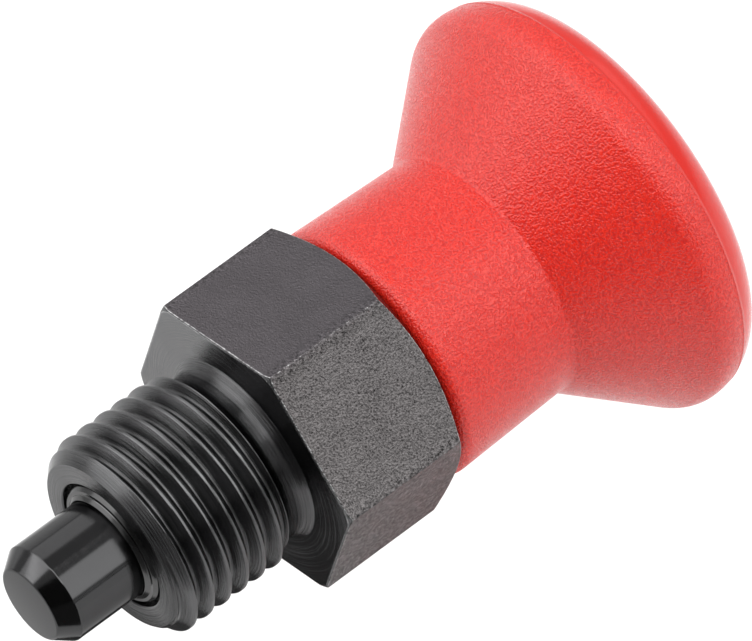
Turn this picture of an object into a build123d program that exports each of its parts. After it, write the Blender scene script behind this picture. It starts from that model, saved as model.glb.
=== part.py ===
from build123d import *
import os
from math import asin, cos, degrees, pi, radians, sin, sqrt, tan

# Indexing plunger, short form, with a mushroom grip. All sizes are in millimetres.
# +X runs along the plunger from the nose of the pin to the grip and +Z is up, with a
# flat of the hexagon facing it. The origin is the centre of the hexagon's front face,
# which seats on the plate that the thread is screwed into.

# Sleeve: shank, relief, hexagon and rear collar, turned from hexagon bar
thread_diameter = 10.0
shank_length = 7.8
shank_chamfer = 0.7
relief_diameter = 8.7
relief_length = 1.1
relief_chamfer = 0.2
across_flats = 13.0
hexagon_length = 7.1
front_chamfer_diameter = 14.5
rear_chamfer_diameter = 12.8
hexagon_chamfer_angle = 30.0
collar_diameter = 9.6
collar_chamfer = 0.4
rear_wall = 2.9

# Guide bush, pressed into the mouth of the sleeve
bush_diameter = 6.5
bush_length = 3.0
bush_recess = 0.4
bush_outer_chamfer = 0.25
bush_inner_chamfer = 0.3

# Indexing pin: nose, shoulder and stem, turned in one piece
pin_diameter = 5.0
pin_stand_out = 4.7
nose_face_diameter = 3.7
nose_chamfer_length = 0.9
shoulder_length = 1.2
stem_diameter = 3.5
stem_in_grip = 6.6
stem_groove_depth = 0.3
stem_groove_width = 0.8
stem_groove_count = 2
stem_groove_pitch = 2.4

# Spring, round wire with closed and ground ends, drawn with a few flat sides
wire_diameter = 0.6
wire_sides = 6
spring_length = 12.9
active_turns = 7
closed_turns = 1
closed_turn_gap = 0.025
points_per_turn = 12

# Mushroom grip, moulded round the end of the stem
grip_diameter = 21.0
neck_length = 6.9
neck_front_diameter = 13.0
neck_rear_diameter = 12.5
neck_lip_chamfer = 0.2
flare_angle = 40.0
rim_front_radius = 1.5
rim_land = 0.05
rim_back_radius = 2.5
crown_radius = 30.0

# Travel and clearances between the pieces
stroke = 5.0
stop_clearance = 0.05
running_clearance = 0.03
shoulder_clearance = 0.08
step_depth = 0.2
spring_seat_gap = 0.03
stem_clearance = 0.1
collar_clearance = 0.15
grip_gap = 0.15
cavity_end_gap = 0.3

# Places along X that follow from the sizes
shank_front = -shank_length
bush_front = shank_front + bush_recess
shoulder_front = bush_front + bush_length
shoulder_rear = shoulder_front + shoulder_length
nose_face = shank_front - pin_stand_out
stop_step = shoulder_rear + stroke + stop_clearance
spring_front = shoulder_rear + spring_seat_gap
spring_seat = spring_front + spring_length + spring_seat_gap
collar_rear = spring_seat + rear_wall
grip_front = hexagon_length + grip_gap
neck_rear = grip_front + neck_length
cavity_rear = collar_rear + cavity_end_gap
stem_rear = cavity_rear + stem_in_grip

# Radii that follow from the sizes
thread_radius = thread_diameter / 2
relief_radius = relief_diameter / 2
collar_radius = collar_diameter / 2
bush_radius = bush_diameter / 2
pin_radius = pin_diameter / 2
stem_radius = stem_diameter / 2
shoulder_radius = bush_radius - shoulder_clearance
spring_bore_radius = bush_radius - step_depth
stem_bore_radius = stem_radius + stem_clearance
guide_bore_radius = pin_radius + running_clearance
cavity_radius = collar_radius + collar_clearance
coil_radius = (stem_radius + spring_bore_radius) / 2
grip_radius = grip_diameter / 2
neck_front_radius = neck_front_diameter / 2
neck_rear_radius = neck_rear_diameter / 2

os.makedirs("parts", exist_ok=True)


# ---------------------------------------------------------------- threaded sleeve
# The shank keeps its plain major diameter: the thread is cut into it later.
corner_radius = across_flats / sqrt(3)
chamfer_slope = tan(radians(hexagon_chamfer_angle))
front_chamfer = (corner_radius - front_chamfer_diameter / 2) * chamfer_slope
rear_chamfer = (corner_radius - rear_chamfer_diameter / 2) * chamfer_slope
relief_ramp = thread_radius - relief_radius

with BuildPart() as threaded_sleeve:
    # the hexagon, with its corners turned off at 30 degrees on both faces
    with BuildSketch(Plane.YZ):
        RegularPolygon(radius=across_flats / 2, side_count=6, major_radius=False)
    extrude(amount=hexagon_length)
    with BuildSketch(Plane.XY):
        with BuildLine():
            Polyline(
                (0, 0),
                (0, front_chamfer_diameter / 2),
                (front_chamfer, corner_radius),
                (hexagon_length - rear_chamfer, corner_radius),
                (hexagon_length, rear_chamfer_diameter / 2),
                (hexagon_length, 0),
                close=True,
            )
        make_face()
    revolve(axis=Axis.X, mode=Mode.INTERSECT)

    # the shank and its relief, which lets the hexagon seat flat on the plate
    with BuildSketch(Plane.XY):
        with BuildLine():
            Polyline(
                (shank_front, 0),
                (shank_front, thread_radius - shank_chamfer),
                (shank_front + shank_chamfer, thread_radius),
                (-relief_length - relief_ramp, thread_radius),
                (-relief_length, relief_radius),
                (-relief_chamfer, relief_radius),
                (0, relief_radius + relief_chamfer),
                (hexagon_length / 2, relief_radius + relief_chamfer),
                (hexagon_length / 2, 0),
                close=True,
            )
        make_face()
    revolve(axis=Axis.X)

    # the collar that the grip's neck slides over
    with BuildSketch(Plane.XY):
        with BuildLine():
            Polyline(
                (hexagon_length, 0),
                (hexagon_length, collar_radius),
                (collar_rear - collar_chamfer, collar_radius),
                (collar_rear, collar_radius - collar_chamfer),
                (collar_rear, 0),
                close=True,
            )
        make_face()
    revolve(axis=Axis.X)

    # one stepped bore: bush and shoulder, then spring, then stem
    with BuildSketch(Plane.XY):
        with BuildLine():
            Polyline(
                (shank_front, 0),
                (shank_front, bush_radius),
                (stop_step, bush_radius),
                (stop_step, spring_bore_radius),
                (spring_seat, spring_bore_radius),
                (spring_seat, stem_bore_radius),
                (collar_rear, stem_bore_radius),
                (collar_rear, 0),
                close=True,
            )
        make_face()
    revolve(axis=Axis.X, mode=Mode.SUBTRACT)
threaded_sleeve.part.label = "threaded_sleeve"
export_step(threaded_sleeve.part, "parts/threaded_sleeve.step")


# --------------------------------------------------------------------- guide bush
bush_rear = bush_front + bush_length

with BuildPart() as guide_bush:
    with BuildSketch(Plane.XY):
        with BuildLine():
            Polyline(
                (bush_front, guide_bore_radius + bush_inner_chamfer),
                (bush_front, bush_radius - bush_outer_chamfer),
                (bush_front + bush_outer_chamfer, bush_radius),
                (bush_rear, bush_radius),
                (bush_rear, guide_bore_radius),
                (bush_front + bush_inner_chamfer, guide_bore_radius),
                close=True,
            )
        make_face()
    revolve(axis=Axis.X)
guide_bush.part.label = "guide_bush"
export_step(guide_bush.part, "parts/guide_bush.step")


# ------------------------------------------------------------------- indexing pin
# The tail of the stem is drawn once: it shapes the pin, and the grip is moulded on it.
groove_middle = cavity_rear + stem_in_grip / 2

with BuildSketch(Plane.XY) as stem_tail:
    with BuildLine():
        Polyline(
            (cavity_rear, 0),
            (cavity_rear, stem_radius),
            (stem_rear, stem_radius),
            (stem_rear, 0),
            close=True,
        )
    make_face()
    with Locations((groove_middle, stem_radius)):
        with GridLocations(stem_groove_pitch, 1, stem_groove_count, 1):
            Rectangle(stem_groove_width, stem_groove_depth * 2, mode=Mode.SUBTRACT)

with BuildPart() as indexing_pin:
    with BuildSketch(Plane.XY):
        with BuildLine():
            Polyline(
                (nose_face, 0),
                (nose_face, nose_face_diameter / 2),
                (nose_face + nose_chamfer_length, pin_radius),
                (shoulder_front, pin_radius),
                (shoulder_front, shoulder_radius),
                (shoulder_rear, shoulder_radius),
                (shoulder_rear, stem_radius),
                (cavity_rear, stem_radius),
                (cavity_rear, 0),
                close=True,
            )
        make_face()
        add(stem_tail.sketch)
    revolve(axis=Axis.X)
indexing_pin.part.label = "indexing_pin"
export_step(indexing_pin.part, "parts/indexing_pin.step")


# ------------------------------------------------------------- compression spring
# The wire's middle line winds closed turns at both ends and open turns in between.
# It starts and ends in the planes of the seats, and is cut off flat there. The drawn
# section has the area of the round wire.
side_angle = 2 * pi / wire_sides
wire_corner_radius = wire_diameter / 2 * sqrt(side_angle / sin(side_angle))
closed_pitch = wire_diameter + closed_turn_gap
total_turns = active_turns + 2 * closed_turns
closed_length = closed_turns * closed_pitch
active_pitch = (spring_length - 2 * closed_length) / active_turns
spring_rear = spring_front + spring_length


def coil_place(turn):
    """Return the X of the wire's middle line after a number of turns."""
    if turn <= closed_turns:
        return spring_front + turn * closed_pitch
    if turn >= total_turns - closed_turns:
        return spring_rear - (total_turns - turn) * closed_pitch
    return spring_front + closed_length + (turn - closed_turns) * active_pitch


coil_points = []
for step in range(total_turns * points_per_turn + 1):
    turn = step / points_per_turn
    angle = 2 * pi * turn
    coil_points.append((coil_place(turn), coil_radius * cos(angle), coil_radius * sin(angle)))

with BuildPart() as compression_spring:
    with BuildLine() as wire_line:
        Spline(*coil_points)
    wire_plane = Plane(origin=wire_line.line @ 0, x_dir=(0, 1, 0), z_dir=wire_line.line % 0)
    with BuildSketch(wire_plane):
        RegularPolygon(radius=wire_corner_radius, side_count=wire_sides)
    sweep(path=wire_line.line, is_frenet=True)
    with Locations(((spring_front + spring_rear) / 2, 0, 0)):
        Box(spring_length, bush_diameter, bush_diameter, mode=Mode.INTERSECT)
compression_spring.part.label = "compression_spring"
export_step(compression_spring.part, "parts/compression_spring.step")


# ------------------------------------------------------------------ mushroom grip
# The outline runs up the tapered neck, out along the flare, round the rim and over
# the crown, and each of its arcs is tangent to what comes before it. It goes back along
# the socket that is moulded round the stem and the hollow that clears the collar.
rim_start_radius = grip_radius - rim_front_radius * (1 - cos(radians(flare_angle)))
flare_length = (rim_start_radius - neck_rear_radius) / sin(radians(flare_angle))
crown_sine = (grip_radius - rim_back_radius) / (crown_radius - rim_back_radius)
crown_angle = degrees(asin(crown_sine))

with BuildPart() as mushroom_grip:
    with BuildSketch(Plane.XY):
        with BuildLine():
            flare = PolarLine((neck_rear, neck_rear_radius), flare_length, flare_angle)
            rim_front = JernArc(flare @ 1, flare % 1, rim_front_radius, -flare_angle)
            land = PolarLine(rim_front @ 1, rim_land, 0)
            rim_back = JernArc(land @ 1, land % 1, rim_back_radius, crown_angle - 90)
            crown = JernArc(rim_back @ 1, rim_back % 1, crown_radius, -crown_angle)
            Polyline(
                crown @ 1,
                (cavity_rear, 0),
                (cavity_rear, cavity_radius),
                (grip_front, cavity_radius),
                (grip_front, neck_front_radius - neck_lip_chamfer),
                (grip_front + neck_lip_chamfer, neck_front_radius),
                (neck_rear, neck_rear_radius),
            )
        make_face()
        add(stem_tail.sketch, mode=Mode.SUBTRACT)
    revolve(axis=Axis.X)
mushroom_grip.part.label = "mushroom_grip"
export_step(mushroom_grip.part, "parts/mushroom_grip.step")
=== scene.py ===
"""A short indexing plunger with a threaded sleeve, a hexagon and a red mushroom grip.

Sizes are in millimetres along the plunger's axis, X, and become metres when a mesh is
made. Angles round the axis count from +Y towards +Z.
"""

import logging
import math
from abc import ABC, abstractmethod
from collections.abc import Callable, Iterable, Sequence
from dataclasses import dataclass, field
from enum import Enum
from typing import ClassVar

import bmesh
import bpy
from mathutils import Matrix, Vector

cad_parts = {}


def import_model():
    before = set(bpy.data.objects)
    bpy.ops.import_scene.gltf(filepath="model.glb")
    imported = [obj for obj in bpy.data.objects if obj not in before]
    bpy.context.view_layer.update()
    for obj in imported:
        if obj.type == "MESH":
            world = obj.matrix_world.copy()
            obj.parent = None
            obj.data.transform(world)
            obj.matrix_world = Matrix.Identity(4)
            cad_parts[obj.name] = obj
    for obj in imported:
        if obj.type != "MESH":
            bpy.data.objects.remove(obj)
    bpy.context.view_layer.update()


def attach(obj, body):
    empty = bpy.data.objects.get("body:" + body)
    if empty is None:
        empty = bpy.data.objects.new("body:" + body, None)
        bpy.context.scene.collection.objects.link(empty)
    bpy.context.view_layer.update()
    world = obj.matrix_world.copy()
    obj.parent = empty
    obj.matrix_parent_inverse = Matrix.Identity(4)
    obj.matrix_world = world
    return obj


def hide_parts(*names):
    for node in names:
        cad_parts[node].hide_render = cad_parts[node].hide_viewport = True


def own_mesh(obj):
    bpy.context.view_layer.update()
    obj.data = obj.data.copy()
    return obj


LOG = logging.getLogger("indexing_plunger")
MM = 0.001
WELD = 0.0002
PARTING_LINE = 20.53
NORMAL_WEIGHT = 75

Point = tuple[float, float]
Span = tuple[float, float]
Place = tuple[float, float, float]
Colour = tuple[float, float, float]


# ------------------------------------------------------------------ wiring of nodes
def sum_of(operation: str, swapped: bool = False) -> Callable[["Wire", "Wire | float"], "Wire"]:
    """Make an operator for wires.

    Args:
        operation: What the Math node does.
        swapped: Whether the wire is the second of the two values.

    Returns:
        A method that takes the other value and adds the node.
    """

    def operator(wire: "Wire", other: "Wire | float") -> "Wire":
        """Work out one sum on a wire and another value."""
        values = (other, wire) if swapped else (wire, other)
        return wire.board.maths(operation, *values)

    return operator


class Wire:
    """A socket that can be used in sums."""

    def __init__(self, board: "Board", socket: bpy.types.NodeSocket) -> None:
        """Keep the socket and the board that it belongs to."""
        self.board = board
        self.socket = socket

    __add__ = sum_of("ADD")
    __radd__ = sum_of("ADD", swapped=True)
    __sub__ = sum_of("SUBTRACT")
    __rsub__ = sum_of("SUBTRACT", swapped=True)
    __mul__ = sum_of("MULTIPLY")
    __rmul__ = sum_of("MULTIPLY", swapped=True)
    __truediv__ = sum_of("DIVIDE")


@dataclass(frozen=True)
class Spot:
    """A place on a surface in millimetres, with its parts and its distance from the axis."""

    place: Wire
    along: Wire
    across: Wire
    rise: Wire
    radius: Wire


@dataclass(frozen=True)
class Grain:
    """A noise: how often it varies in a millimetre, its detail and how rough it is."""

    per_mm: float
    detail: float = 2.0
    rough: float = 0.5


class Board:
    """A node tree that is wired by expressions."""

    def __init__(self, tree: bpy.types.NodeTree) -> None:
        """Start from an empty tree."""
        self.tree = tree
        self.tree.nodes.clear()

    @staticmethod
    def find(sockets: Sequence[bpy.types.NodeSocket], key: str | int) -> bpy.types.NodeSocket:
        """Find a socket by its identifier, such as "A_Color", or else by its number or name."""
        matches = [socket for socket in sockets if socket.identifier == key]
        return matches[0] if matches else sockets[key]

    def node(
        self,
        kind: str,
        settings: dict[str, object] | None = None,
        inputs: dict[str | int, object] | None = None,
        output: str | int = 0,
    ) -> Wire:
        """Add a node.

        Args:
            kind: The node's type.
            settings: Its properties, which are set first.
            inputs: Values or wires for its sockets.
            output: The socket that is handed back.

        Returns:
            One of its outputs, or its first input where it has no output.
        """
        made = self.tree.nodes.new(kind)
        for name, value in (settings or {}).items():
            setattr(made, name, value)
        for key, value in (inputs or {}).items():
            socket = self.find(made.inputs, key)
            if isinstance(value, Wire):
                self.tree.links.new(value.socket, socket)
            else:
                socket.default_value = value
        if not made.outputs:
            return Wire(self, made.inputs[0])
        return Wire(self, self.find(made.outputs, output))

    def maths(self, operation: str, *values: Wire | float, clamp: bool = False) -> Wire:
        """Add a Math node on wires and numbers."""
        inputs = dict(enumerate(values))
        return self.node("ShaderNodeMath", {"operation": operation, "use_clamp": clamp}, inputs)

    def least(self, first: Wire, second: Wire | float) -> Wire:
        """Return the smaller of two."""
        return self.maths("MINIMUM", first, second)

    def most(self, first: Wire, second: Wire | float) -> Wire:
        """Return the larger of two."""
        return self.maths("MAXIMUM", first, second)

    def swing(self, value: Wire, amount: Wire | float) -> Wire:
        """Turn a value from 0 to 1 into a swing to both sides of 0."""
        return (value - 0.5) * amount

    def step(self, value: Wire, low: float, high: float) -> Wire:
        """Ease from 0 to 1 while a value goes from low to high."""
        inputs = {"Value": value, "From Min": low, "From Max": high}
        return self.node("ShaderNodeMapRange", {"interpolation_type": "SMOOTHSTEP"}, inputs)

    def blend(self, factor: Wire | float, first: Wire | Colour, second: Wire | Colour) -> Wire:
        """Mix two colours."""
        inputs = dict(Factor_Float=factor, A_Color=self.colour(first), B_Color=self.colour(second))
        return self.node("ShaderNodeMix", {"data_type": "RGBA"}, inputs, "Result_Color")

    @staticmethod
    def colour(value: Wire | Colour) -> Wire | tuple[float, ...]:
        """Give a colour its alpha, and pass a wire through."""
        return value if isinstance(value, Wire) else (*value, 1.0)

    def scale(self, vector: Wire | Colour, factor: Wire | float) -> Wire:
        """Multiply a vector or a colour by a number."""
        inputs = {0: vector, 3: factor}
        return self.node("ShaderNodeVectorMath", {"operation": "SCALE"}, inputs)

    def parts(self, vector: Wire) -> tuple[Wire, Wire, Wire]:
        """Split a vector into X, Y and Z."""
        along = self.node("ShaderNodeSeparateXYZ", {}, {0: vector}, "X")
        return along, *(Wire(self, along.socket.node.outputs[key]) for key in "YZ")

    def join(self, along: Wire, across: Wire, rise: Wire) -> Wire:
        """Put X, Y and Z together."""
        return self.node("ShaderNodeCombineXYZ", {}, {"X": along, "Y": across, "Z": rise})

    def spot(self) -> Spot:
        """Read where on the surface a point is.

        Returns:
            The place, from the object's own coordinates.
        """
        coordinates = self.node("ShaderNodeTexCoord", {}, {}, "Object")
        place = self.scale(coordinates, 1 / MM)
        along, across, rise = self.parts(place)
        radius = self.maths("SQRT", across * across + rise * rise)
        return Spot(place, along, across, rise, radius)

    def noise(self, place: Wire, grain: Grain, lines: bool = False) -> Wire:
        """Return a noise from 0 to 1.

        Args:
            place: A vector, or one number where the noise makes lines.
            grain: The noise.
            lines: Whether it varies along one number.

        Returns:
            Its value.
        """
        inputs = {"Scale": grain.per_mm, "Detail": grain.detail, "Roughness": grain.rough}
        settings = {"noise_dimensions": "1D" if lines else "3D"}
        inputs["W" if lines else "Vector"] = place
        return self.node("ShaderNodeTexNoise", settings, inputs, "Fac")

    def rings(self, spot: Spot, grain: Grain) -> Wire:
        """Return the marks of a turning tool, from 0 to 1."""
        return self.noise(spot.along + spot.radius, grain, lines=True)

    def attribute(self, name: str) -> Wire:
        """Read a number that is stored on the mesh."""
        return self.node("ShaderNodeAttribute", {"attribute_name": name}, {}, "Fac")

    def bump(self, height: Wire, depth: float) -> Wire:
        """Turn a height from 0 to 1 into a normal, depth in millimetres."""
        return self.node("ShaderNodeBump", {}, {"Height": height, "Distance": depth * MM})

    def dull(self, grey: float) -> Wire:
        """Return the shader of dull grey paper."""
        return self.node("ShaderNodeBsdfDiffuse", {}, {"Color": (grey, grey, grey, 1.0)})

    def orbit(self, along: Wire, radius: Wire, turn: Wire) -> Wire:
        """Find a place by how far it is round the axis.

        Args:
            along: How far along the axis it lies.
            radius: How far from the axis.
            turn: How many turns round it.

        Returns:
            The place as a vector.
        """
        angle = turn * math.tau
        across = radius * self.maths("COSINE", angle)
        return self.join(along, across, radius * self.maths("SINE", angle))

    def move(self, shape: Wire, position: Wire) -> Wire:
        """Move the points of a shape."""
        return self.node("GeometryNodeSetPosition", {}, {"Geometry": shape, "Position": position})


def paint(name: str, shade: Callable[[Board], Wire]) -> bpy.types.Material:
    """Make a material.

    Args:
        name: Its name.
        shade: Wires its shader on a board.

    Returns:
        The material.
    """
    made = bpy.data.materials.new(name)
    made.use_nodes = True
    board = Board(made.node_tree)
    board.node("ShaderNodeOutputMaterial", {}, {"Surface": shade(board)})
    return made


def put(name: str, data: bpy.types.ID) -> bpy.types.Object:
    """Put an object into the scene.

    Args:
        name: Its name.
        data: Its mesh, lamp or camera.

    Returns:
        The object, at the origin.
    """
    made = bpy.data.objects.new(name, data)
    bpy.context.scene.collection.objects.link(made)
    return made


# ------------------------------------------------------------------------- finishes
@dataclass(frozen=True)
class Finish(ABC):
    """What all finishes share: a name, a colour and how rough the surface is."""

    name: str
    base: Colour
    roughness: float
    metallic: float = 0.0

    def material(self) -> bpy.types.Material:
        """Make the finish's material."""
        return paint(self.name, self.shader)

    def shader(self, board: Board) -> Wire:
        """Wire the shader."""
        inputs = {"Metallic": self.metallic, **self.constants(), **self.surface(board)}
        return board.node("ShaderNodeBsdfPrincipled", {}, inputs)

    @abstractmethod
    def constants(self) -> dict[str | int, object]:
        """Return the shader values that are the same all over."""

    @abstractmethod
    def surface(self, board: Board) -> dict[str | int, object]:
        """Return the inputs that change over the surface."""


@dataclass(frozen=True)
class Steel(Finish):
    """What the steels share: the edge tint, which is how they reflect at a flat angle."""

    metallic: float = 1.0
    edge_tint: float = 0.75

    def constants(self) -> dict[str | int, object]:
        """Return the tint at a flat angle."""
        return {"Specular Tint": (*(self.edge_tint,) * 3, 1.0)}


@dataclass(frozen=True)
class BlackOxide(Steel):
    """Black-oxidised bar steel: pickled flats, glossier turned parts and worn edges.

    The flats on the -Y side, which face the camera and the front lamps, are painted paler and
    greyer with a stronger speckle, as painted light; scale covers the lower one of them and the
    hexagon's corners. The thread is painted darker down in its groove, as painted shade, and so
    are the turned faces that lie as deep.
    """

    edge_tint: float = 0.85
    # Painted light: the paler, neutral grey of the flats that face the camera and the front lamps.
    greyer: Colour = (0.106, 0.0995, 0.0995)
    turned: Colour = (0.114, 0.114, 0.116)
    bright: Colour = (0.34, 0.34, 0.34)
    turned_roughness: float = 0.17
    marks: Grain = Grain(9.0, 4.0, 0.6)
    fine_marks: Grain = Grain(34.0, 2.0, 0.6)
    grit: Grain = Grain(11.0, 1.0, 0.6)
    cloud: Grain = Grain(0.45)
    scale: Grain = Grain(6.0, 3.0, 0.7)
    coarse_side: Span = (-3.9, -3.6)
    under_side: Span = (-0.4, 0.0)
    corner_zone: Span = (7.2, 7.42)
    groove: Span = (4.4, 4.95)
    worn_from: Span = (0.82, 1.05)
    mean_tone: float = 0.85
    darkest: float = 0.15
    clouding: float = 0.3
    mark_tone: float = 0.3
    # Painted shade: how much darker turned surfaces are painted down in the thread's groove.
    groove_tone: float = 0.28
    speckle: float = 0.3
    # Painted light: the stronger speckle on the flats that face the camera and the front lamps.
    coarse_speckle: float = 2.4
    scale_speckle: float = 3.0
    under_speckle: float = 2.0
    wear_spread: float = 1.3
    mark_roughness: float = 0.12
    grit_roughness: float = 0.3
    mark_depth: float = 0.022
    grit_depth: float = 0.04
    scale_depth: float = 0.06
    fine_share: float = 0.45

    def surface(self, board: Board) -> dict[str | int, object]:
        """Wire the colour, the roughness and the relief.

        Args:
            board: The board of the material's nodes.

        Returns:
            Wires for the shader's inputs.
        """
        spot = board.spot()
        flat = board.attribute("flat")
        turned = 1.0 - flat
        marks = board.rings(spot, self.marks)
        grit = board.noise(spot.place, self.grit)
        scale = board.noise(spot.place, self.scale)
        # Painted light: the -Y flats, facing the camera and the front lamps, get a paler grey and
        # stronger speckle.
        coarse = 1.0 - board.step(spot.across, *self.coarse_side)
        under = coarse * (1.0 - board.step(spot.rise, *self.under_side))
        scaled = board.most(board.step(spot.radius, *self.corner_zone), under) * flat
        rough = self.turned_roughness + (self.roughness - self.turned_roughness) * flat
        rough = rough + board.swing(marks, self.mark_roughness) * turned
        rough = rough + board.swing(grit, self.grit_roughness) * flat
        cut = (1.0 - self.fine_share) * marks + self.fine_share * board.rings(spot, self.fine_marks)
        relief = cut * turned * self.mark_depth + grit * flat * self.grit_depth
        relief = (relief + scale * scaled * self.scale_depth) * (1.0 / self.grit_depth)
        tone = self.mean_tone + board.swing(board.noise(spot.place, self.cloud), self.clouding)
        tone = tone + board.swing(marks, self.mark_tone) * turned
        # Painted shade: turned surfaces darken inside the thread's crest radius.
        tone = tone - self.groove_tone * (1.0 - board.step(spot.radius, *self.groove)) * turned
        speckle = self.speckle + (self.coarse_speckle - self.speckle) * coarse
        tone = tone + board.swing(grit, speckle) * flat
        speckle = self.scale_speckle * (1.0 + self.under_speckle * under)
        tone = board.most(tone + board.swing(scale, speckle) * scaled, self.darkest)
        ground = board.blend(flat, self.turned, board.blend(coarse, self.base, self.greyer))
        wear = board.attribute("wear") + board.swing(scale, self.wear_spread)
        worn = board.step(wear, *self.worn_from)
        return {
            "Base Color": board.blend(worn, board.scale(ground, tone), self.bright),
            "Roughness": rough,
            "Normal": board.bump(relief, self.grit_depth),
        }


@dataclass(frozen=True)
class GroundSteel(Steel):
    """Steel that was turned or ground: fine rings and a faint haze."""

    marks: Grain = Grain(26.0, 3.0, 0.6)
    cloud: Grain = Grain(1.2, 3.0)
    mean_tone: float = 0.95
    clouding: float = 0.1
    mark_tone: float = 0.2
    cloud_roughness: float = 0.1
    mark_roughness: float = 0.06
    mark_depth: float = 0.0012

    def surface(self, board: Board) -> dict[str | int, object]:
        """Wire the colour, the roughness and the relief.

        Args:
            board: The board of the material's nodes.

        Returns:
            Wires for the shader's inputs.
        """
        spot = board.spot()
        marks = board.rings(spot, self.marks)
        cloud = board.noise(spot.place, self.cloud)
        tone = self.mean_tone + board.swing(cloud, self.clouding)
        rough = self.roughness + board.swing(cloud, self.cloud_roughness)
        return {
            "Base Color": board.scale(self.base, tone + board.swing(marks, self.mark_tone)),
            "Roughness": rough + board.swing(marks, self.mark_roughness),
            "Normal": board.bump(marks, self.mark_depth),
        }


@dataclass(frozen=True)
class GrainedRed(Finish):
    """Moulded thermoplastic: spark-eroded grain up to the parting line, smooth behind it."""

    # Painted shade and sheen: grain valleys take the deep red and peaks the pale red; the slow
    # cloud also swings between them as random mottling.
    deep: Colour = (0.38, 0.002, 0.002)
    pale: Colour = (0.69, 0.036, 0.020)
    ior: float = 1.5
    reflection: float = 0.46
    grain: Grain = Grain(9.3, 1.0)
    grain_levels: Span = (0.25, 0.75)
    grain_tone: float = 1.4
    grain_roughness: float = 0.24
    grain_depth: float = 0.026
    cloud: Grain = Grain(0.25)
    clouding: float = 0.2
    parting_width: float = 0.1
    smoother: float = 0.08
    smooth_share: float = 0.12

    def constants(self) -> dict[str | int, object]:
        """Return the plastic's own gloss."""
        return {"IOR": self.ior, "Specular IOR Level": self.reflection}

    def surface(self, board: Board) -> dict[str | int, object]:
        """Wire the colour, the roughness and the relief.

        Args:
            board: The board of the material's nodes.

        Returns:
            Wires for the shader's inputs.
        """
        spot = board.spot()
        half = self.parting_width / 2
        smooth = board.step(spot.along, PARTING_LINE - half, PARTING_LINE + half)
        grained = 1.0 - smooth
        height = board.step(board.noise(spot.place, self.grain), *self.grain_levels)
        # Painted shade and sheen: the grain's height darkens valleys and pales peaks, and the cloud
        # adds random mottling.
        tone = board.swing(height, self.grain_tone) * grained
        tone = tone + board.swing(board.noise(spot.place, self.cloud), self.clouding)
        below = board.maths("MULTIPLY", tone, -1.0, clamp=True)
        above = board.maths("MULTIPLY", tone, 1.0, clamp=True)
        rough = self.roughness - board.swing(height, self.grain_roughness) * grained
        relief = height * (self.smooth_share + (1.0 - self.smooth_share) * grained)
        return {
            "Base Color": board.blend(above, board.blend(below, self.base, self.deep), self.pale),
            "Roughness": rough - self.smoother * smooth,
            "Normal": board.bump(relief, self.grain_depth),
        }


class Slot(Enum):
    """The record's material slots."""

    SLEEVE = "black_oxide_steel"
    BUSH = "bush_steel"
    PIN = "pin_steel"
    SPRING = "spring_steel"
    GRIP = "grip_red"


FINISHES: dict[Slot, Finish] = {
    Slot.SLEEVE: BlackOxide("black_oxide", (0.098, 0.089, 0.095), 0.36),
    Slot.BUSH: GroundSteel("bush_steel", (0.085, 0.085, 0.085), 0.16),
    Slot.PIN: GroundSteel("pin_steel", (0.054, 0.054, 0.055), 0.12),
    Slot.SPRING: GroundSteel("spring_wire", (0.5, 0.5, 0.5), 0.28),
    Slot.GRIP: GrainedRed("red_grip", (0.58, 0.0125, 0.0055), 0.26),
}


# -------------------------------------------------------------------- mesh building
@dataclass(frozen=True)
class Corner:
    """A corner of an outline, and how much it is rounded."""

    x: float
    r: float
    rounding: float = 0.0


def arc(centre: Point, radius: float, start: float, end: float, steps: int) -> list[Point]:
    """Draw an arc.

    Args:
        centre: The arc's centre, along the axis and out from it.
        radius: Its radius.
        start: The angle of its first point in degrees, 90 pointing away from the axis.
        end: The angle of its last point.
        steps: The number of stretches.

    Returns:
        One more point than there are stretches.
    """
    turns = [math.radians(start + (end - start) * k / steps) for k in range(steps + 1)]
    return [(centre[0] + radius * math.cos(t), centre[1] + radius * math.sin(t)) for t in turns]


def rounded(corners: Sequence[Corner], steps: int = 5) -> list[Point]:
    """Draw an outline through corners, with the inner ones rounded.

    Args:
        corners: The corners in order. The first and last are ends.
        steps: The number of stretches in each rounding.

    Returns:
        The points of the outline.
    """
    points: list[Point] = [(corners[0].x, corners[0].r)]
    for before, here, after in zip(corners, corners[1:], corners[2:]):
        if here.rounding <= 0.0:
            points.append((here.x, here.r))
            continue
        place = Vector((here.x, here.r))
        back = (Vector((before.x, before.r)) - place).normalized()
        ahead = (Vector((after.x, after.r)) - place).normalized()
        half = math.acos(max(-1.0, min(1.0, back.dot(ahead)))) / 2
        reach = here.rounding / math.tan(half)
        centre = place + (back + ahead).normalized() * (here.rounding / math.sin(half))
        first = place + back * reach - centre
        last = place + ahead * reach - centre
        start = math.degrees(math.atan2(first.y, first.x))
        end = start + math.degrees(last.angle_signed(first))
        points.extend(arc(tuple(centre), here.rounding, start, end, steps))
    points.append((corners[-1].x, corners[-1].r))
    return points


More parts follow.
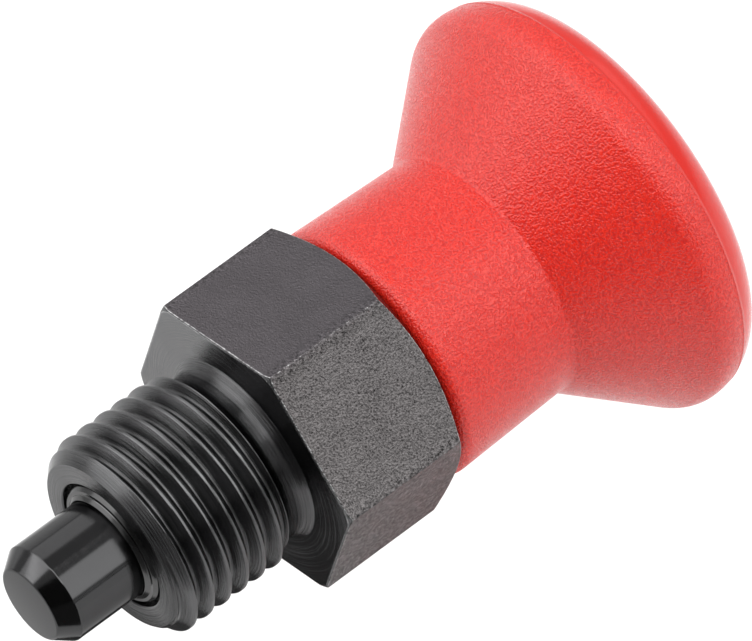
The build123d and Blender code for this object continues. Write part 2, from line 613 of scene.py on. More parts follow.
class Skin:
    """A closed surface that is put together from rings of points."""

    def __init__(self) -> None:
        """Start with no points."""
        self.points: list[Place] = []
        self.faces: list[tuple[int, ...]] = []
        self.marks: dict[str, dict[int, float]] = {}

    def ring(self, places: Iterable[Place], **marks: float) -> list[int]:
        """Add a ring of points.

        Args:
            places: The points, in order round the axis.
            **marks: Numbers that are stored on each of them.

        Returns:
            The numbers of the points.
        """
        first = len(self.points)
        self.points.extend(places)
        numbers = list(range(first, len(self.points)))
        for name, value in marks.items():
            self.marks.setdefault(name, {}).update(dict.fromkeys(numbers, value))
        return numbers

    def circle(self, point: Point, columns: int, **marks: float) -> list[int]:
        """Add a round ring, or one point where it lies on the axis.

        Args:
            point: Where the ring is along the axis, and its radius.
            columns: The number of points.
            **marks: Numbers that are stored on each of them.

        Returns:
            The numbers of the points.
        """
        x, r = point
        if r < WELD:
            return self.ring([(x, 0.0, 0.0)], **marks)
        turns = [math.tau * k / columns for k in range(columns)]
        return self.ring([(x, r * math.cos(t), r * math.sin(t)) for t in turns], **marks)

    def join(self, first: list[int], second: list[int]) -> None:
        """Fill the band between two rings of the same length, or a ring and a pole.

        Args:
            first: The points of one ring, or the pole.
            second: The points of the other, in the same sense.
        """
        for k in range(max(len(first), len(second))):
            sides = ((first, k), (second, k), (second, k + 1), (first, k + 1))
            corners = [ring[place % len(ring)] for ring, place in sides]
            self.faces.append(tuple(dict.fromkeys(corners)))

    def zip(self, first: list[int], second: list[int]) -> None:
        """Fill the flat band between two rings with different numbers of points.

        Args:
            first: A ring that starts near +Y and runs towards +Z.
            second: The other ring, in the same sense.
        """
        rings = [first, second]
        turns = [self.turns_of(ring) for ring in rings]
        at = [0, 0]
        while at[0] < len(first) or at[1] < len(second):
            waiting = [turns[k][at[k] + 1] if at[k] < len(rings[k]) else math.inf for k in (0, 1)]
            k = 0 if waiting[0] <= waiting[1] else 1
            here = [rings[n][at[n] % len(rings[n])] for n in (0, 1)]
            at[k] += 1
            self.faces.append((here[0], here[1], rings[k][at[k] % len(rings[k])]))

    def turns_of(self, ring: list[int]) -> list[float]:
        """Work out where round the axis the points of a ring are.

        Args:
            ring: The numbers of its points.

        Returns:
            Their angles, rising, with the first point once more at the end.
        """
        turns = [math.atan2(self.points[number][2], self.points[number][1]) for number in ring]
        start = turns[0]
        return [*(start + (t - start) % math.tau for t in turns), start + math.tau]

    def lathe(self, outline: Sequence[Point], columns: int, **marks: float) -> list[list[int]]:
        """Turn an outline about the axis.

        Args:
            outline: Points along the axis and out from it.
            columns: The number of stretches round the axis.
            **marks: Numbers that are stored on its points.

        Returns:
            The rings, in the outline's order.
        """
        rings = [self.circle(point, columns, **marks) for point in outline]
        for first, second in zip(rings, rings[1:]):
            self.join(first, second)
        return rings

    def object(self, name: str, extra: Sequence[bpy.types.Mesh] = ()) -> bpy.types.Object:
        """Make the finished object.

        Args:
            name: The piece's name.
            extra: Meshes in millimetres that are welded to the skin.

        Returns:
            An object at the origin with a closed, smooth mesh in metres.
        """
        mesh = bpy.data.meshes.new(name)
        mesh.from_pydata(self.points, [], self.faces)
        for mark, values in self.marks.items():
            layer = mesh.attributes.new(mark, "FLOAT", "POINT")
            stored = [values.get(k, 0.0) for k in range(len(self.points))]
            layer.data.foreach_set("value", stored)
        work = bmesh.new()
        for part in (mesh, *extra):
            work.from_mesh(part)
        bmesh.ops.remove_doubles(work, verts=work.verts, dist=WELD)
        bmesh.ops.dissolve_degenerate(work, dist=WELD / 2, edges=work.edges)
        bmesh.ops.recalc_face_normals(work, faces=work.faces)
        open_edges = sum(not edge.is_manifold for edge in work.edges)
        if open_edges:
            LOG.warning("%s has %d open edges", name, open_edges)
        bmesh.ops.scale(work, vec=(MM, MM, MM), verts=work.verts)
        for face in work.faces:
            face.smooth = True
        work.to_mesh(mesh)
        work.free()
        return plain(put(name, mesh), weigh_normals)


def weigh_normals(made: bpy.types.Object) -> None:
    """Let large faces set the shading, so that flats stay flat up to their edges.

    Args:
        made: The object that gets the modifier.
    """
    modifier = made.modifiers.new("normals", "WEIGHTED_NORMAL")
    modifier.mode = "FACE_AREA_WITH_ANGLE"
    modifier.weight = NORMAL_WEIGHT


def plain(
    made: bpy.types.Object, modify: Callable[[bpy.types.Object], None]
) -> bpy.types.Object:
    """Apply modifiers and keep a plain mesh.

    Args:
        made: The object.
        modify: Puts the modifiers on it.

    Returns:
        The same object, with the result as its mesh and no modifier left.
    """
    modify(made)
    graph = bpy.context.evaluated_depsgraph_get()
    done = bpy.data.meshes.new_from_object(
        made.evaluated_get(graph), preserve_all_data_layers=True, depsgraph=graph
    )
    made.modifiers.clear()
    old = made.data
    made.data = done
    done.name = made.name
    bpy.data.meshes.remove(old)
    return made


class Recipe:
    """A geometry node tree with named inputs, which makes one mesh."""

    def __init__(self, name: str, inputs: dict[str, float]) -> None:
        """Make the tree's sockets.

        Args:
            name: The tree's name.
            inputs: The sizes that it takes.
        """
        self.tree = bpy.data.node_groups.new(name, "GeometryNodeTree")
        self.board = Board(self.tree)
        self.values = inputs
        self.keys: dict[str, str] = {}
        for label in inputs:
            self.keys[label] = self.open(label, "INPUT", "NodeSocketFloat")
        self.open("Mesh", "OUTPUT", "NodeSocketGeometry")
        self.sockets = self.board.node("NodeGroupInput").socket.node.outputs

    def open(self, label: str, way: str, kind: str) -> str:
        """Add a socket to the tree and return its identifier."""
        made = self.tree.interface.new_socket(name=label, in_out=way, socket_type=kind)
        return made.identifier

    def size(self, label: str) -> Wire:
        """Return one of the named inputs."""
        return Wire(self.board, self.sockets[label])

    def mesh(self, shape: Wire, material: bpy.types.Material) -> bpy.types.Mesh:
        """Finish the tree and run it.

        Args:
            shape: The geometry that the tree makes.
            material: The material that it is given.

        Returns:
            A plain mesh in millimetres.
        """
        real = self.board.node("GeometryNodeRealizeInstances", {}, {"Geometry": shape})
        inputs = {"Geometry": real, "Material": material}
        dressed = self.board.node("GeometryNodeSetMaterial", {}, inputs)
        self.board.node("NodeGroupOutput", {}, {0: dressed})
        seed = put(self.tree.name, bpy.data.meshes.new(self.tree.name))
        made = plain(seed, self.attach).data
        bpy.data.objects.remove(seed)
        return made

    def attach(self, made: bpy.types.Object) -> None:
        """Put the tree on an object as a modifier, with its sizes.

        Args:
            made: The object.
        """
        modifier = made.modifiers.new(self.tree.name, "NODES")
        modifier.node_group = self.tree
        for label, value in self.values.items():
            modifier[self.keys[label]] = float(value)


# -------------------------------------------------------------------- sub-assemblies
PIN_RADIUS = 2.5
STEM_RADIUS = 1.75
PIN_PLAY = 0.03
STEM_PLAY = 0.1
SPRING_PLAY = 0.03
STOP_GAP = 0.01
GRIP_PLAY = 0.15
CAVITY_PLAY = 0.3


class Body(Enum):
    """The CAD bodies that pieces ride on."""

    SLEEVE = "sleeve"
    SPRING = "spring"
    PLUNGER = "plunger"


@dataclass
class Piece(ABC):
    """What all pieces of the plunger share: a name, a CAD node, a slot and a body."""

    name: ClassVar[str]
    node: ClassVar[str]
    slot: ClassVar[Slot]
    body: ClassVar[Body]

    def __post_init__(self) -> None:
        """Make the piece's material."""
        self.material = FINISHES[self.slot].material()

    @abstractmethod
    def shape(self) -> bpy.types.Object:
        """Make the piece, without its material."""

    def build(self) -> bpy.types.Object:
        """Make the piece, dress it and put it on its body.

        Returns:
            The finished piece.
        """
        made = self.shape()
        made.data.materials.clear()
        made.data.materials.append(self.material)
        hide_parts(self.node)
        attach(made, self.body.value)
        LOG.info("%s: %d faces, on %s", made.name, len(made.data.polygons), self.body.value)
        return made


@dataclass
class Turned(Piece):
    """A piece that is one outline, turned about the axis."""

    columns: int

    @abstractmethod
    def outline(self) -> list[Point]:
        """Return the piece's section."""

    def shape(self) -> bpy.types.Object:
        """Turn the outline.

        Returns:
            The piece without its material.
        """
        skin = Skin()
        skin.lathe(self.outline(), self.columns)
        return skin.object(self.name)


@dataclass
class Thread:
    """A right-hand metric thread on a shank, cut by a lead-in and a run-out."""

    major: float = 5.0
    pitch: float = 1.0
    crest_at: float = -0.662
    front: float = -7.74
    front_radius: float = 4.36
    rear: float = -1.1
    rear_radius: float = 4.35
    rows: int = 32
    crest_share: float = 1 / 16
    flank_share: float = 5 / 16
    root_depth: float = 0.0721

    def mesh(self, columns: int, material: bpy.types.Material) -> bpy.types.Mesh:
        """Cut the thread.

        Args:
            columns: The number of stretches round the axis.
            material: The material of the tree's result.

        Returns:
            An open tube in millimetres that starts and ends in plain circles.
        """
        before = math.ceil((self.crest_at - self.front) / self.pitch + 1.0)
        turns = math.ceil((self.rear - self.crest_at) / self.pitch + before + 1.0)
        sizes = {
            "Major Radius": self.major,
            "Pitch": self.pitch,
            "First Crest": self.crest_at - before * self.pitch,
            "Front": self.front,
            "Front Radius": self.front_radius,
            "Rear": self.rear,
            "Rear Radius": self.rear_radius,
        }
        recipe = Recipe("thread", sizes)
        board = recipe.board
        grid = {
            "Size X": float(turns),
            "Size Y": 1.0,
            "Vertices X": turns * self.rows + 1,
            "Vertices Y": columns + 1,
        }
        sheet = board.node("GeometryNodeMeshGrid", {}, grid, "Mesh")
        x, y, _ = board.parts(board.node("GeometryNodeInputPosition"))
        crests = x + turns / 2
        turn = y + 0.5
        front, rear, pitch = recipe.size("Front"), recipe.size("Rear"), recipe.size("Pitch")
        free = recipe.size("First Crest") + (crests + turn) * pitch
        along = board.least(board.most(free, front), rear)
        off_crest = board.maths("ABSOLUTE", board.maths("FRACT", crests + 0.5) - 0.5)
        past_crest = off_crest - self.crest_share
        flank = board.maths("DIVIDE", past_crest, self.flank_share, clamp=True)
        slope = self.flank_share * math.sqrt(3)
        root_share = 0.5 - self.crest_share - self.flank_share
        bottom = board.maths("DIVIDE", 0.5 - off_crest, root_share, clamp=True)
        depth = (flank * slope + (1.0 - bottom * bottom) * self.root_depth) * pitch
        lead_in = recipe.size("Front Radius") + (along - front)
        run_out = recipe.size("Rear Radius") + (rear - along)
        radius = board.least(recipe.size("Major Radius") - depth, board.least(lead_in, run_out))
        tube = board.move(sheet, board.orbit(along, radius, turn))
        inputs = {"Geometry": tube, "Distance": WELD}
        return recipe.mesh(board.node("GeometryNodeMergeByDistance", {}, inputs), material)


@dataclass
class Sleeve(Piece):
    """The threaded sleeve with its hexagon and rear collar."""

    name = "threaded_sleeve_skin"
    node = "threaded_sleeve"
    slot = Slot.SLEEVE
    body = Body.SLEEVE

    thread: Thread = field(default_factory=Thread)
    columns: int = 256
    face: float = -7.8
    face_radius: float = 4.3
    face_rounding: float = 0.05
    mouth_radius: float = 3.25
    mouth_rounding: float = 0.1
    step: float = 1.85
    spring_bore: float = 3.05
    spring_seat: float = 9.76
    stem_bore: float = STEM_RADIUS + STEM_PLAY
    rear: float = 12.66
    collar: float = 4.8
    collar_chamfer: float = 0.4
    small_rounding: float = 0.08
    relief_foot: float = 0.4
    relief_blend: float = 0.1
    relief_sweep: float = 0.5
    relief_steps: int = 9
    seat_ring: float = 5.1
    face_ring: float = 6.0
    apothem: float = 6.5
    hexagon: float = 7.1
    corner_rounding: float = 0.1
    corner_steps: int = 6
    flat_steps: int = 14
    front_circle: float = 7.25
    rear_circle: float = 6.4
    chamfer_degrees: float = 30.0
    edge_break: float = 0.07
    edge_round: float = 0.06
    edge_limit: float = 0.45
    edge_steps: int = 3
    edge_wear: float = 1.0
    edge_side_wear: float = 0.55
    corner_wear: float = 0.8
    corner_wear_depth: float = 0.002

    def shape(self) -> bpy.types.Object:
        """Put the sleeve together from its turned parts, its thread and its hexagon.

        Returns:
            The sleeve without its material.
        """
        skin = Skin()
        front = skin.lathe(self.front_outline(), self.columns, flat=0.0, wear=0.0)
        nose = skin.lathe(self.bore_outline(), self.columns, flat=0.0, wear=0.0)
        rows = self.hexagon_rows(skin)
        for first, second in zip(rows, rows[1:]):
            skin.join(first, second)
        skin.zip(front[0], rows[0])
        skin.zip(nose[-1], rows[-1])
        return skin.object(self.name, [self.thread.mesh(self.columns, self.material)])

    def front_outline(self) -> list[Point]:
        """Draw the seat's inner ring and the relief.

        Returns:
            Their points, up to the thread.
        """
        relief = self.thread.rear_radius
        corners = [
            Corner(0.0, self.seat_ring),
            Corner(0.0, relief + self.relief_foot, self.relief_blend),
            Corner(-self.relief_foot, relief, self.relief_sweep),
            Corner(self.thread.rear, relief),
        ]
        return rounded(corners, self.relief_steps)

    def bore_outline(self) -> list[Point]:
        """Draw the front face, the stepped bore and the collar.

        Returns:
            Their points, up to the hexagon.
        """
        small = self.small_rounding
        corners = [
            Corner(self.thread.front, self.thread.front_radius),
            Corner(self.face, self.face_radius, self.face_rounding),
            Corner(self.face, self.mouth_radius, self.mouth_rounding),
            Corner(self.step, self.mouth_radius, small),
            Corner(self.step, self.spring_bore, small),
            Corner(self.spring_seat, self.spring_bore, small),
            Corner(self.spring_seat, self.stem_bore, small),
            Corner(self.rear, self.stem_bore, small),
            Corner(self.rear, self.collar - self.collar_chamfer, small),
            Corner(self.rear - self.collar_chamfer, self.collar, small),
            Corner(self.hexagon, self.collar, small),
            Corner(self.hexagon, self.seat_ring),
        ]
        return rounded(corners)

    def hexagon_columns(self) -> list[Point]:
        """Draw the hexagon's outline, seen along the axis.

        Returns:
            Its points as Y and Z, from the middle of the corner at +Y.
        """
        sixth = math.pi / 3
        hub = (self.apothem - self.corner_rounding) / math.cos(sixth / 2)
        edges = []
        for middle in (sixth * corner for corner in range(6)):
            centre = (hub * math.cos(middle), hub * math.sin(middle))
            start, end = (math.degrees(middle + sixth * side) for side in (-0.5, 0.5))
            edges.append(arc(centre, self.corner_rounding, start, end, self.corner_steps))
        outline: list[Point] = []
        for edge, following in zip(edges, edges[1:] + edges[:1]):
            outline.extend(edge)
            start, end = Vector(edge[-1]), Vector(following[0])
            for k in range(1, self.flat_steps):
                share = 0.5 - 0.5 * math.cos(math.pi * k / self.flat_steps)
                outline.append(tuple(start.lerp(end, share)))
        half = self.corner_steps // 2
        return outline[half:] + outline[:half]

    def hexagon_rows(self, skin: Skin) -> list[list[int]]:
        """Add the hexagon's skin, from its front face to its rear face.

        Args:
            skin: The skin that it is added to.

        Returns:
            Its rings, from the front to the rear.
        """
        columns = self.hexagon_columns()
        reaches = [math.hypot(*column) for column in columns]
        profiles = [self.radial_profile(reach) for reach in reaches]
        # The flat starts one row inside the second edge's rounding, and ends in the same way.
        first_flat = 1 + (self.edge_steps + 1) + 1
        last_flat = len(profiles[0]) - 1 - first_flat
        ridge = max(reaches) - self.corner_wear_depth
        rows = []
        for row in range(len(profiles[0])):
            places = []
            for (y, z), reach, profile in zip(columns, reaches, profiles, strict=True):
                x, r, _ = profile[row]
                places.append((x, y * r / reach, z * r / reach))
            on_flat = first_flat <= row <= last_flat
            ring = skin.ring(places, flat=float(on_flat), wear=profiles[0][row][2])
            if on_flat:
                worn = [n for n, reach in zip(ring, reaches, strict=True) if reach > ridge]
                skin.marks["wear"].update(dict.fromkeys(worn, self.corner_wear))
            rows.append(ring)
        return rows

    def radial_profile(self, reach: float) -> list[tuple[float, float, float]]:
        """Return the hexagon's section at one column.

        Args:
            reach: How far the hexagon's outline is from the axis there.

        Returns:
            Points along the axis and out from it, each with how worn it is.
        """
        slope = math.tan(math.radians(self.chamfer_degrees))
        front_edge = min(reach - self.edge_break, self.front_circle)
        rear_edge = min(reach - self.edge_break, self.rear_circle)
        corners = [
            Vector((0.0, self.face_ring)),
            Vector((0.0, front_edge)),
            Vector(((reach - front_edge) * slope, reach)),
            Vector((self.hexagon - (reach - rear_edge) * slope, reach)),
            Vector((self.hexagon, rear_edge)),
            Vector((self.hexagon, self.face_ring)),
        ]
        profile = [(*corners[0], 0.0)]
        for before, here, after in zip(corners, corners[1:], corners[2:]):
            first, last = (
                here + side.normalized() * min(self.edge_round, self.edge_limit * side.length)
                for side in (before - here, after - here)
            )
            for k in range(self.edge_steps + 1):
                t = k / self.edge_steps
                spot = first * (1 - t) ** 2 + here * 2 * t * (1 - t) + last * t**2
                wear = self.edge_wear if 0 < k < self.edge_steps else self.edge_side_wear
                profile.append((*spot, wear))
        profile.append((*corners[-1], 0.0))
        return profile


@dataclass
class Bush(Turned):
    """The guide bush, whose front stands in the sleeve's mouth with a lip round the pin."""

    name = "guide_bush_ring"
    node = "guide_bush"
    slot = Slot.BUSH
    body = Body.SLEEVE

    columns: int = 192
    lip: float = -8.02
    lip_land: float = 0.04
    lip_chamfer: float = 0.14
    lip_lean: float = 0.02
    front: float = -7.84
    front_chamfer: float = 0.16
    shoulder: float = -7.3
    rear: float = -4.4
    outer: float = Sleeve.mouth_radius
    neck: float = 3.08
    bore: float = PIN_RADIUS + PIN_PLAY
    rounding: float = 0.03

    def outline(self) -> list[Point]:
        """Draw the bush's section.

        Returns:
            Its points, from the middle of the bore round the lip and back.
        """
        middle = (self.shoulder + self.rear) / 2
        lip_edge = self.bore + self.lip_land
        lip_foot = lip_edge + self.lip_lean + self.lip_chamfer
        places = [
            (self.lip, self.bore),
            (self.lip, lip_edge),
            (self.lip + self.lip_chamfer, lip_foot),
            (self.front, lip_foot + self.lip_lean),
            (self.front, self.neck - self.front_chamfer),
            (self.front + self.front_chamfer, self.neck),
            (self.shoulder, self.neck),
            (self.shoulder, self.outer),
            (self.rear, self.outer),
            (self.rear, self.bore),
        ]
        end = Corner(middle, self.bore)
        return rounded([end, *(Corner(x, r, self.rounding) for x, r in places), end])


@dataclass(frozen=True)
class StemTail:
    """The grooved end of the stem, on which the grip is moulded."""

    start: float = Sleeve.rear + CAVITY_PLAY
    length: float = 6.6
    radius: float = STEM_RADIUS
    groove_width: float = 0.8
    groove_depth: float = 0.3
    groove_pitch: float = 2.4
    rounding: float = 0.05

    def corners(self) -> list[Corner]:
        """Draw the tail's outline.

        Returns:
            Its corners, from its start to its end on the axis.
        """
        middle = self.start + self.length / 2
        end = self.start + self.length
        floor = self.radius - self.groove_depth
        found = [Corner(self.start, self.radius)]
        for groove in (middle - self.groove_pitch / 2, middle + self.groove_pitch / 2):
            low, high = groove - self.groove_width / 2, groove + self.groove_width / 2
            section = ((low, self.radius), (low, floor), (high, floor), (high, self.radius))
            found.extend(Corner(x, r, self.rounding) for x, r in section)
        return [*found, Corner(end, self.radius, self.rounding), Corner(end, 0.0)]


@dataclass
class Pin(Turned):
    """The indexing pin: nose, shoulder and stem."""

    name = "pin_body"
    node = "indexing_pin"
    slot = Slot.PIN
    body = Body.PLUNGER

    columns: int = 192
    nose: float = -12.5
    nose_radius: float = 1.85
    nose_rounding: float = 0.16
    chamfer: float = 0.9
    chamfer_rounding: float = 0.12
    radius: float = PIN_RADIUS
    shoulder_front: float = Bush.rear + STOP_GAP
    shoulder_rear: float = -3.2
    shoulder: float = 3.17
    rounding: float = 0.06
    tail: StemTail = field(default_factory=StemTail)

    def outline(self) -> list[Point]:
        """Draw the pin's section.

        Returns:
            Its points, from the nose to the end of the stem.
        """
        corners = [
            Corner(self.nose, 0.0),
            Corner(self.nose, self.nose_radius, self.nose_rounding),
            Corner(self.nose + self.chamfer, self.radius, self.chamfer_rounding),
            Corner(self.shoulder_front, self.radius, self.rounding),
            Corner(self.shoulder_front, self.shoulder, self.rounding),
            Corner(self.shoulder_rear, self.shoulder, self.rounding),
            Corner(self.shoulder_rear, self.tail.radius, self.rounding),
            *self.tail.corners(),
        ]
        return rounded(corners)


@dataclass
class Spring(Piece):
    """The compression spring, with closed and ground ends."""

    name = "spring_wire"
    node = "compression_spring"
    slot = Slot.SPRING
    body = Body.SPRING

    front: float = Pin.shoulder_rear + SPRING_PLAY
    length: float = Sleeve.spring_seat - SPRING_PLAY - front
    coil: float = 2.4
    wire: float = 0.3
    active: float = 7.0
    closed: float = 1.0
    closed_gap: float = 0.025
    steps_per_turn: int = 48
    wire_steps: int = 16
    stroke: float = 5.0

    def shape(self) -> bpy.types.Object:
        """Wind the spring along its rule and grind its ends flat.

        Returns:
            The spring without its material.
        """
        sizes = {
            "Front": self.front,
            "Length": self.length,
            "Coil Radius": self.coil,
            "Wire Radius": self.wire,
            "Closed Turns": self.closed,
            "Turns": self.active + 2 * self.closed,
            "Closed Pitch": 2 * self.wire + self.closed_gap,
        }
        recipe = Recipe(self.node, sizes)
        board = recipe.board
        line = board.node("GeometryNodeCurvePrimitiveLine", {}, {"End": (1.0, 0.0, 0.0)})
        count = int(sizes["Turns"]) * self.steps_per_turn
        points = board.node("GeometryNodeResampleCurve", {}, {"Curve": line, "Count": count})
        front, turns = recipe.size("Front"), recipe.size("Turns")
        turn = board.node("GeometryNodeSplineParameter", {}, {}, "Factor") * turns
        closed, tight = recipe.size("Closed Turns"), recipe.size("Closed Pitch")
        loose = (recipe.size("Length") - 2.0 * closed * tight) / (turns - 2.0 * closed)
        start = board.least(turn, closed) * tight
        end = board.most(turn - (turns - closed), 0.0) * tight
        middle = board.most(board.least(turn, turns - closed) - closed, 0.0) * loose
        place = board.orbit(front + start + middle + end, recipe.size("Coil Radius"), turn)
        circle = {"Resolution": self.wire_steps, "Radius": recipe.size("Wire Radius")}
        section = board.node("GeometryNodeCurvePrimitiveCircle", {}, circle)
        rail = board.move(points, place)
        sweep = {"Curve": rail, "Profile Curve": section, "Fill Caps": True}
        swept = board.node("GeometryNodeCurveToMesh", {}, sweep)
        x, y, z = board.parts(board.node("GeometryNodeInputPosition"))
        ground = board.least(board.most(x, front), front + recipe.size("Length"))
        wound = recipe.mesh(board.move(swept, board.join(ground, y, z)), self.material)
        return Skin().object(self.name, [wound])

    def build(self) -> bpy.types.Object:
        """Make the spring and give it a mesh of its own.

        Returns:
            The finished spring.
        """
        made = super().build()
        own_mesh(made)
        return made


@dataclass
class Grip(Turned):
    """The mushroom grip, moulded in one piece on the stem."""

    name = "grip_moulding"
    node = "mushroom_grip"
    slot = Slot.GRIP
    body = Body.PLUNGER

    columns: int = 288
    front: float = Sleeve.hexagon + GRIP_PLAY
    neck_rear: float = 14.15
    neck_front_radius: float = 6.5
    neck_rear_radius: float = 6.25
    lip: float = 0.6
    root: float = 0.3
    flare_degrees: float = 40.0
    radius: float = 10.5
    rim_front: float = 1.5
    rim_land: float = 0.05
    rim_back: float = 2.5
    crown: float = 30.0
    cavity: float = Sleeve.collar + GRIP_PLAY
    cavity_mouth: float = 0.1
    cavity_floor: float = 0.2
    ridge: float = 0.025
    ridge_width: float = 0.12
    ridge_section: tuple[Point, ...] = ((-0.5, 0.0), (-0.25, 1.0), (0.25, 1.0), (0.5, 0.0))
    crown_steps: int = 24
    rim_steps: int = 28
    front_steps: int = 12
    inner_steps: int = 9
    tail: StemTail = field(default_factory=StemTail)

    def outline(self) -> list[Point]:
        """Draw the whole section.

        Returns:
            Its points, from the crown round the neck to the end of the socket.
        """
        flare = math.radians(self.flare_degrees)
        rim_start = self.radius - self.rim_front * (1 - math.cos(flare))
        flare_end = self.neck_rear + (rim_start - self.neck_rear_radius) / math.tan(flare)
        front_hub = (flare_end + self.rim_front * math.sin(flare), self.radius - self.rim_front)
        back_hub = (front_hub[0] + self.rim_land, self.radius - self.rim_back)
        crown_reach = self.crown - self.rim_back
        lean = math.asin(back_hub[1] / crown_reach)
        crown_hub = (back_hub[0] - crown_reach * math.cos(lean), 0.0)
        tilt = math.degrees(lean)
        crown = arc(crown_hub, self.crown, 0.0, tilt, self.crown_steps)
        rim = arc(back_hub, self.rim_back, tilt, 90.0, self.rim_steps)
        turn = 90.0 + self.flare_degrees
        front = arc(front_hub, self.rim_front, 90.0, turn, self.front_steps)
        inner = [
            Corner(*front[-1]),
            Corner(self.neck_rear, self.neck_rear_radius, self.root),
            Corner(self.front, self.neck_front_radius, self.lip),
            Corner(self.front, self.cavity, self.cavity_mouth),
            Corner(self.tail.start, self.cavity, self.cavity_floor),
            *self.tail.corners(),
        ]
        neck = rounded(inner, self.inner_steps)
        return [*crown[:-1], *self.with_ridge(rim), *front[:-1], *neck]

    def with_ridge(self, rim: list[Point]) -> list[Point]:
        """Raise a fine ridge where the two halves of the mould met.

        Args:
            rim: The points of the rim, from the crown towards the neck.

        Returns:
            The rim with the ridge on it.
        """
        kept = [p for p in rim if abs(p[0] - PARTING_LINE) > self.ridge_width]
        behind = [p for p in kept if p[0] > PARTING_LINE]
        ahead = [p for p in kept if p[0] < PARTING_LINE]
        last, first = Vector(behind[-1]), Vector(ahead[0])
        spot = last.lerp(first, (last.x - PARTING_LINE) / (last.x - first.x))
        along = (first - last).normalized()
        out = Vector((-along.y, along.x))
        if out.y < 0:
            out = -out
        ridge = [
            spot + along * self.ridge_width * share + out * self.ridge * height
            for share, height in self.ridge_section
        ]
        return [*behind, *(tuple(p) for p in ridge), *ahead]


@dataclass
class Plunger:
    """The whole indexing plunger."""

    sleeve: Sleeve = field(default_factory=Sleeve)
    bush: Bush = field(default_factory=Bush)
    spring: Spring = field(default_factory=Spring)
    pin: Pin = field(default_factory=Pin)
    grip: Grip = field(default_factory=Grip)

    def build(self) -> None:
        """Build each piece."""
        for piece in (self.sleeve, self.bush, self.spring, self.pin, self.grip):
            piece.build()


# --------------------------------------------------------------------------- studio
def direction(azimuth: float, elevation: float) -> Vector:
    """Turn two angles into a direction.

    Args:
        azimuth: The angle from +Y towards +X in degrees.
        elevation: The angle above the horizon.

    Returns:
        A unit vector.
    """
    turn, rise = math.radians(azimuth), math.radians(elevation)
    level = math.cos(rise)
    return Vector((level * math.sin(turn), level * math.cos(turn), math.sin(rise)))


def sheet(
    name: str, width: float, height: float, shade: Callable[[Board], Wire]
) -> bpy.types.Object:
    """Lay out a rectangle that faces up.

    Args:
        name: Its name, which is also its material's.
        width: Its side along X in millimetres.
        height: Its side along Y.
        shade: Wires its shader on a board.

    Returns:
        The sheet, round the origin.
    """
    w, h = width / 2 * MM, height / 2 * MM
    mesh = bpy.data.meshes.new(name)
    mesh.from_pydata([(-w, -h, 0), (w, -h, 0), (w, h, 0), (-w, h, 0)], [], [(0, 1, 2, 3)])
    mesh.materials.append(paint(name, shade))
    return put(name, mesh)


@dataclass(frozen=True)
class Softbox:
    """A square lamp that hangs round the plunger and faces it, in metres and watts."""

    name: str
    azimuth: float
    elevation: float
    distance: float
    side: float
    power: float

    def place(self, target: Vector) -> None:
        """Hang the lamp so that it faces a point.

        Args:
            target: The point, in metres.
        """
        lamp = bpy.data.lights.new(self.name, "AREA")
        lamp.shape = "SQUARE"
        lamp.size = self.side
        lamp.energy = self.power
        made = put(self.name, lamp)
        way = direction(self.azimuth, self.elevation)
        made.location = target + way * self.distance
        made.rotation_euler = way.to_track_quat("Z", "Y").to_euler()


@dataclass(frozen=True)
class Card:
    """A grey card that shows only in the plunger's reflections."""

    name: str
    middle: Place
    facing: Place
    width: float
    height: float
    grey: float

    def place(self) -> None:
        """Put the card up."""
        made = sheet(self.name, self.width, self.height, lambda board: board.dull(self.grey))
        made.location = Vector(self.middle) * MM
        made.rotation_euler = Vector(self.facing).to_track_quat("Z", "Y").to_euler()
        made.visible_camera = False
        made.visible_diffuse = False
        made.visible_transmission = False
        made.visible_shadow = False


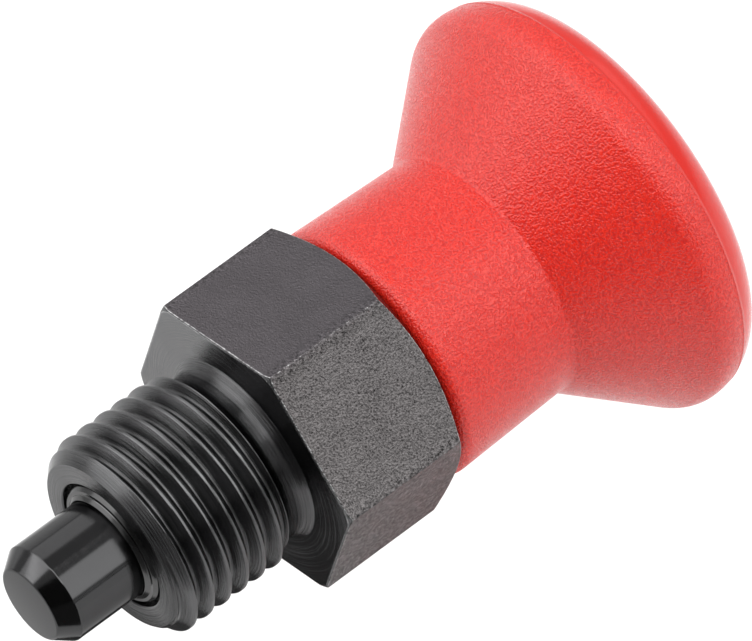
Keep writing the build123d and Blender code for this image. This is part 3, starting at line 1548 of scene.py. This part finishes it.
@dataclass
class Studio:
    """Floor, backdrop light, lamps, cards and camera."""

    middle: Place = (7.479, -1.331, 3.026)
    distance: float = 592.285
    azimuth: float = 30.180
    elevation: float = 41.669
    roll: float = -14.925
    lens: float = 639.584
    clip_end: float = 20000.0
    floor_below: float = 30.0
    floor_side: float = 4000.0
    floor_white: float = 0.78
    floor_lift: float = 0.12
    horizon: float = 0.8
    zenith: float = 0.6
    overhead: Span = (0.25, 0.85)
    ambient: float = 0.2
    lamps: tuple[Softbox, ...] = (
        Softbox("overhead_softbox", -52.0, 61.0, 0.6, 0.60, 3.1),
        Softbox("front_softbox", 192.0, 60.0, 0.6, 0.42, 1.9),
        Softbox("right_softbox", 146.0, 28.0, 0.6, 0.55, 2.1),
        Softbox("high_softbox", 32.0, 50.0, 0.6, 0.36, 0.46),
        Softbox("side_softbox", 90.0, 38.0, 0.6, 0.45, 0.5),
        Softbox("rear_softbox", 0.0, 12.0, 0.6, 0.45, 0.5),
        Softbox("left_softbox", -58.0, 24.0, 0.6, 0.40, 0.75),
    )
    cards: tuple[Card, ...] = (
        Card("grey_card", (-2.0, -9.0, -13.2), (0.0, 0.0, 1.0), 30.0, 42.0, 0.88),
        # Painted shade: this dark card, seen only in reflections, stands for shadow under the
        # sleeve.
        Card("painted_shade_card", (-4.75, 6.0, -13.0), (0.0, 0.0, 1.0), 15.5, 12.0, 0.08),
        Card("dark_strip", (64.6, -184.7, -17.4), (-0.37, 0.93, 0.08), 240.0, 7.0, 0.02),
        Card("black_sheet", (-215.0, -180.0, -29.0), (0.0, 0.0, 1.0), 410.0, 330.0, 0.07),
        Card("black_screen", (-310.0, -260.0, 120.0), (0.74, 0.62, -0.28), 560.0, 330.0, 0.05),
    )

    def build(self) -> None:
        """Set the studio up."""
        target = Vector(self.middle) * MM
        for lamp in self.lamps:
            lamp.place(target)
        for card in self.cards:
            card.place()
        self.floor()
        self.world()
        self.camera(target)
        bpy.context.scene.view_settings.view_transform = "Standard"

    def seen(self, board: Board) -> Wire:
        """Tell the rays that show something from those that light.

        Args:
            board: The board of the material's or the world's nodes.

        Returns:
            1 for camera, glossy and transmission rays, and 0 for the others.
        """
        path = board.node("ShaderNodeLightPath", {}, {}, "Is Camera Ray")
        rays = path.socket.node.outputs
        glossy = Wire(board, rays["Is Glossy Ray"])
        through = Wire(board, rays["Is Transmission Ray"])
        return board.most(board.most(path, glossy), through)

    def paper(self, board: Board) -> Wire:
        """Wire the floor's white paper, which glows a little where it is seen.

        Args:
            board: The board of the material's nodes.

        Returns:
            The shader.
        """
        lift = self.seen(board) * self.floor_lift
        glow = board.node("ShaderNodeEmission", {}, {"Strength": lift})
        return board.node("ShaderNodeAddShader", {}, {0: board.dull(self.floor_white), 1: glow})

    def floor(self) -> None:
        """Lay a white floor under the plunger."""
        made = sheet("floor", self.floor_side, self.floor_side, self.paper)
        made.location.z = -self.floor_below * MM

    def world(self) -> None:
        """Light the studio from all sides, paler at the horizon than overhead."""
        world = bpy.data.worlds.new("studio")
        bpy.context.scene.world = world
        world.use_nodes = True
        board = Board(world.node_tree)
        _, _, rise = board.parts(board.node("ShaderNodeTexCoord", {}, {}, "Generated"))
        overhead = board.step(rise, *self.overhead)
        shown = self.horizon + (self.zenith - self.horizon) * overhead
        seen = self.seen(board)
        strength = seen * shown + (1.0 - seen) * self.ambient
        light = board.node("ShaderNodeBackground", {}, {"Strength": strength})
        board.node("ShaderNodeOutputWorld", {}, {"Surface": light})

    def camera(self, target: Vector) -> None:
        """Point the camera at the plunger with a long lens.

        Args:
            target: The middle of the picture, in metres.
        """
        lens = bpy.data.cameras.new("camera")
        lens.lens = self.lens
        lens.clip_end = self.clip_end * MM
        made = put("camera", lens)
        ahead = direction(self.azimuth, -self.elevation)
        made.location = target - ahead * self.distance * MM
        level = ahead.to_track_quat("-Z", "Y").to_matrix()
        made.rotation_euler = (level @ Matrix.Rotation(math.radians(self.roll), 3, "Z")).to_euler()
        bpy.context.scene.camera = made


def main() -> None:
    """Load the frame, build the plunger in it and set up the studio."""
    logging.basicConfig(level=logging.INFO, format="%(message)s")
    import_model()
    Plunger().build()
    Studio().build()


if __name__ == "__main__":
    main()
